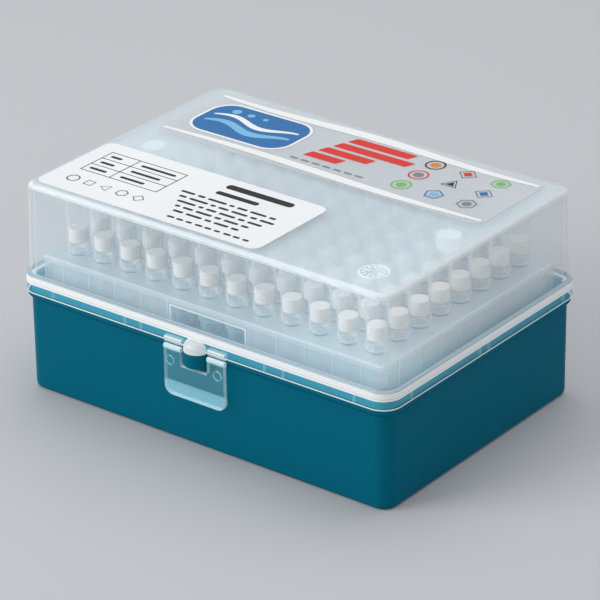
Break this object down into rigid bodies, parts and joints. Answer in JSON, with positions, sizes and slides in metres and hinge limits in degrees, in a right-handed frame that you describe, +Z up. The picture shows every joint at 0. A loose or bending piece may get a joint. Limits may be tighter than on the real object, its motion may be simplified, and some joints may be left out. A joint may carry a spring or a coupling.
{
  "type": "box of pipette tips",
  "caption": "Hinged box of filter pipette tips: teal tray, clear lid with fold-up latch, and a drilled rack that holds the tips upright in a grid.",
  "frame": {"origin": "centre of the tray's underside, on the surface the box stands on", "axes": "+Z up; +X along the long side, to the right as seen from the latch; -Y towards the latch, +Y towards the hinge"},
  "size_m": [0.123, 0.094, 0.0608],
  "materials": {
    "tray_plastic": "moulded polypropylene, teal, satin",
    "clear_plastic": "clear polypropylene, slightly milky",
    "latch_plastic": "clear polypropylene, slightly milky",
    "rack_plastic": "natural polypropylene, milky",
    "tip_plastic": "natural polypropylene with white filters",
    "label_paper": null,
    "film": null
  },
  "bodies": {
    "tray_body": {"tray": "tray_plastic", "rack": "rack_plastic", "tip_A1": "tip_plastic", "tip_A2": "tip_plastic", "tip_A3": "tip_plastic", "tip_A4": "tip_plastic", "tip_A5": "tip_plastic", "tip_A6": "tip_plastic", "tip_A7": "tip_plastic", "tip_A8": "tip_plastic", "tip_A9": "tip_plastic", "tip_A10": "tip_plastic", "tip_A11": "tip_plastic", "tip_A12": "tip_plastic", "tip_B1": "tip_plastic", "tip_B12": "tip_plastic", "tip_C1": "tip_plastic", "tip_C12": "tip_plastic", "tip_D1": "tip_plastic", "tip_D12": "tip_plastic", "tip_E1": "tip_plastic", "tip_E12": "tip_plastic", "tip_F1": "tip_plastic", "tip_F12": "tip_plastic", "tip_G1": "tip_plastic", "tip_G12": "tip_plastic", "tip_H1": "tip_plastic", "tip_H2": "tip_plastic", "tip_H3": "tip_plastic", "tip_H4": "tip_plastic", "tip_H5": "tip_plastic", "tip_H6": "tip_plastic", "tip_H7": "tip_plastic", "tip_H8": "tip_plastic", "tip_H9": "tip_plastic", "tip_H10": "tip_plastic", "tip_H11": "tip_plastic", "tip_H12": "tip_plastic"},
    "lid_body": {"lid": "clear_plastic", "label": "label_paper", "printed_film": "film"},
    "latch_body": {"latch": "latch_plastic"}
  },
  "joints": [
    {"name": "lid_hinge", "type": "hinge", "parent": "tray_body", "child": "lid_body", "pos_m": [0, 0.0456, 0.0276], "axis": [-1, 0, 0], "range_deg": [0, 110]},
    {"name": "latch_hinge", "type": "hinge", "parent": "lid_body", "child": "latch_body", "pos_m": [0, -0.04398, 0.02807], "axis": [-1, 0, 0], "range_deg": [0, 100]}
  ]
}
